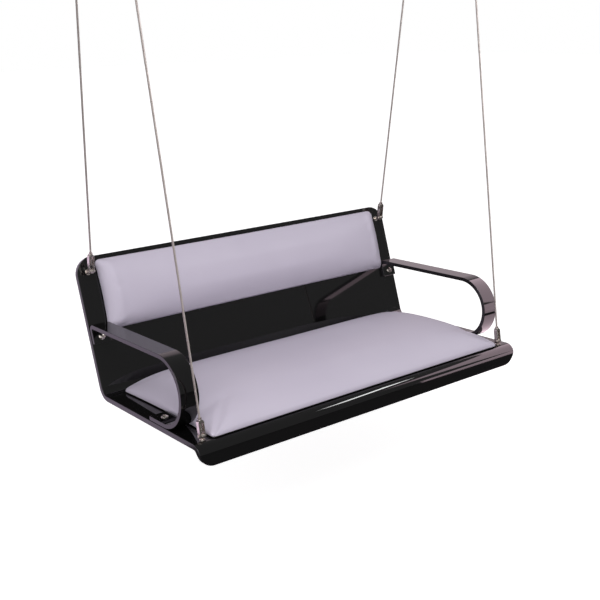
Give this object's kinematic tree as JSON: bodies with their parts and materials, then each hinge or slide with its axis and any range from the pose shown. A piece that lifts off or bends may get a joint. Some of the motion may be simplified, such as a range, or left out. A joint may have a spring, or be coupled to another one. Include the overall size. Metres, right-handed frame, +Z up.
{
  "type": "jhoola swing",
  "caption": "Hanging indoor swing bench: a bent acrylic sheet as back, seat and lip, with looped strip arms and upholstered cushions, hung on wire ropes from ceiling hooks.",
  "frame": {"origin": "centre of the four ceiling studs, in the plane of the ceiling", "axes": "+X along the seat to its right end as seen by someone facing it, +Y to the back, +Z up"},
  "size_m": [1.24, 0.6554, 1.3498],
  "materials": {
    "acrylic": "mirror gloss black",
    "leatherette": "soft pale lilac grey",
    "foam": "open cell foam",
    "board": "plywood with a black underside",
    "steel": "satin polished",
    "wire_rope": "stranded wire"
  },
  "bodies": {
    "hooks": {"ceiling_hook_rear_left": "steel", "ceiling_hook_rear_right": "steel", "ceiling_hook_front_left": "steel", "ceiling_hook_front_right": "steel", "ceiling_plates": "steel", "hook_lock_nuts": "steel"},
    "seat": {"seat_shell": "acrylic", "arm_left": "acrylic", "arm_right": "acrylic", "arm_screws": "steel", "arm_cap_nuts": "steel", "seat_cushion_cover": "leatherette", "seat_cushion_foam": "foam", "seat_cushion_board": "board", "seat_cushion_screws": "steel", "seat_cushion_tee_nuts": "steel", "back_cushion_cover": "leatherette", "back_cushion_foam": "foam", "back_cushion_board": "board", "back_cushion_screws": "steel", "back_cushion_tee_nuts": "steel", "eye_bolt_rear_left": "steel", "eye_bolt_rear_right": "steel", "eye_bolt_front_left": "steel", "eye_bolt_front_right": "steel", "eye_bolt_washers": "steel", "eye_bolt_nuts": "steel"},
    "rope_rear_left": {"stirrup_rear_left": "steel", "stop_sleeve_rear_left": "steel", "rope_rear_left": "wire_rope", "clevis_pin_rear_left": "steel", "clevis_nut_rear_left": "steel", "thimble_rear_left": "steel", "ferrule_rear_left": "steel"},
    "rope_rear_right": {"stirrup_rear_right": "steel", "stop_sleeve_rear_right": "steel", "rope_rear_right": "wire_rope", "clevis_pin_rear_right": "steel", "clevis_nut_rear_right": "steel", "thimble_rear_right": "steel", "ferrule_rear_right": "steel"},
    "rope_front_left": {"stirrup_front_left": "steel", "stop_sleeve_front_left": "steel", "rope_front_left": "wire_rope", "clevis_pin_front_left": "steel", "clevis_nut_front_left": "steel", "thimble_front_left": "steel", "ferrule_front_left": "steel"},
    "rope_front_right": {"stirrup_front_right": "steel", "stop_sleeve_front_right": "steel", "rope_front_right": "wire_rope", "clevis_pin_front_right": "steel", "clevis_nut_front_right": "steel", "thimble_front_right": "steel", "ferrule_front_right": "steel"}
  },
  "joints": [
    {"name": "swing", "type": "hinge", "parent": "hooks", "child": "rope_rear_left", "pos_m": [-0.59, 0.1435, -0.05999], "axis": [1, 0, 0], "range_deg": [-14, 14]},
    {"name": "seat_pivot_rear", "type": "hinge", "parent": "rope_rear_left", "child": "seat", "pos_m": [-0.566, 0.24309, -0.91016], "axis": [1, 0, 0], "range_deg": [-8, 8]},
    {"name": "rope_pivot_rear_right", "type": "hinge", "parent": "hooks", "child": "rope_rear_right", "pos_m": [0.59, 0.1435, -0.05999], "axis": [1, 0, 0], "range_deg": [-14, 14]},
    {"name": "rope_pivot_front_left", "type": "hinge", "parent": "seat", "child": "rope_front_left", "pos_m": [-0.566, -0.32043, -1.23459], "axis": [1, 0, 0], "range_deg": [-6, 6]},
    {"name": "rope_pivot_front_right", "type": "hinge", "parent": "seat", "child": "rope_front_right", "pos_m": [0.566, -0.32043, -1.23459], "axis": [1, 0, 0], "range_deg": [-6, 6]}
  ],
  "couplings": [
    {"joint": "seat_pivot_rear", "follows": "swing", "ratio": -0.55766},
    {"joint": "rope_pivot_rear_right", "follows": "swing", "ratio": 1},
    {"joint": "rope_pivot_front_left", "follows": "swing", "ratio": 0.40362},
    {"joint": "rope_pivot_front_right", "follows": "swing", "ratio": 0.40362}
  ]
}
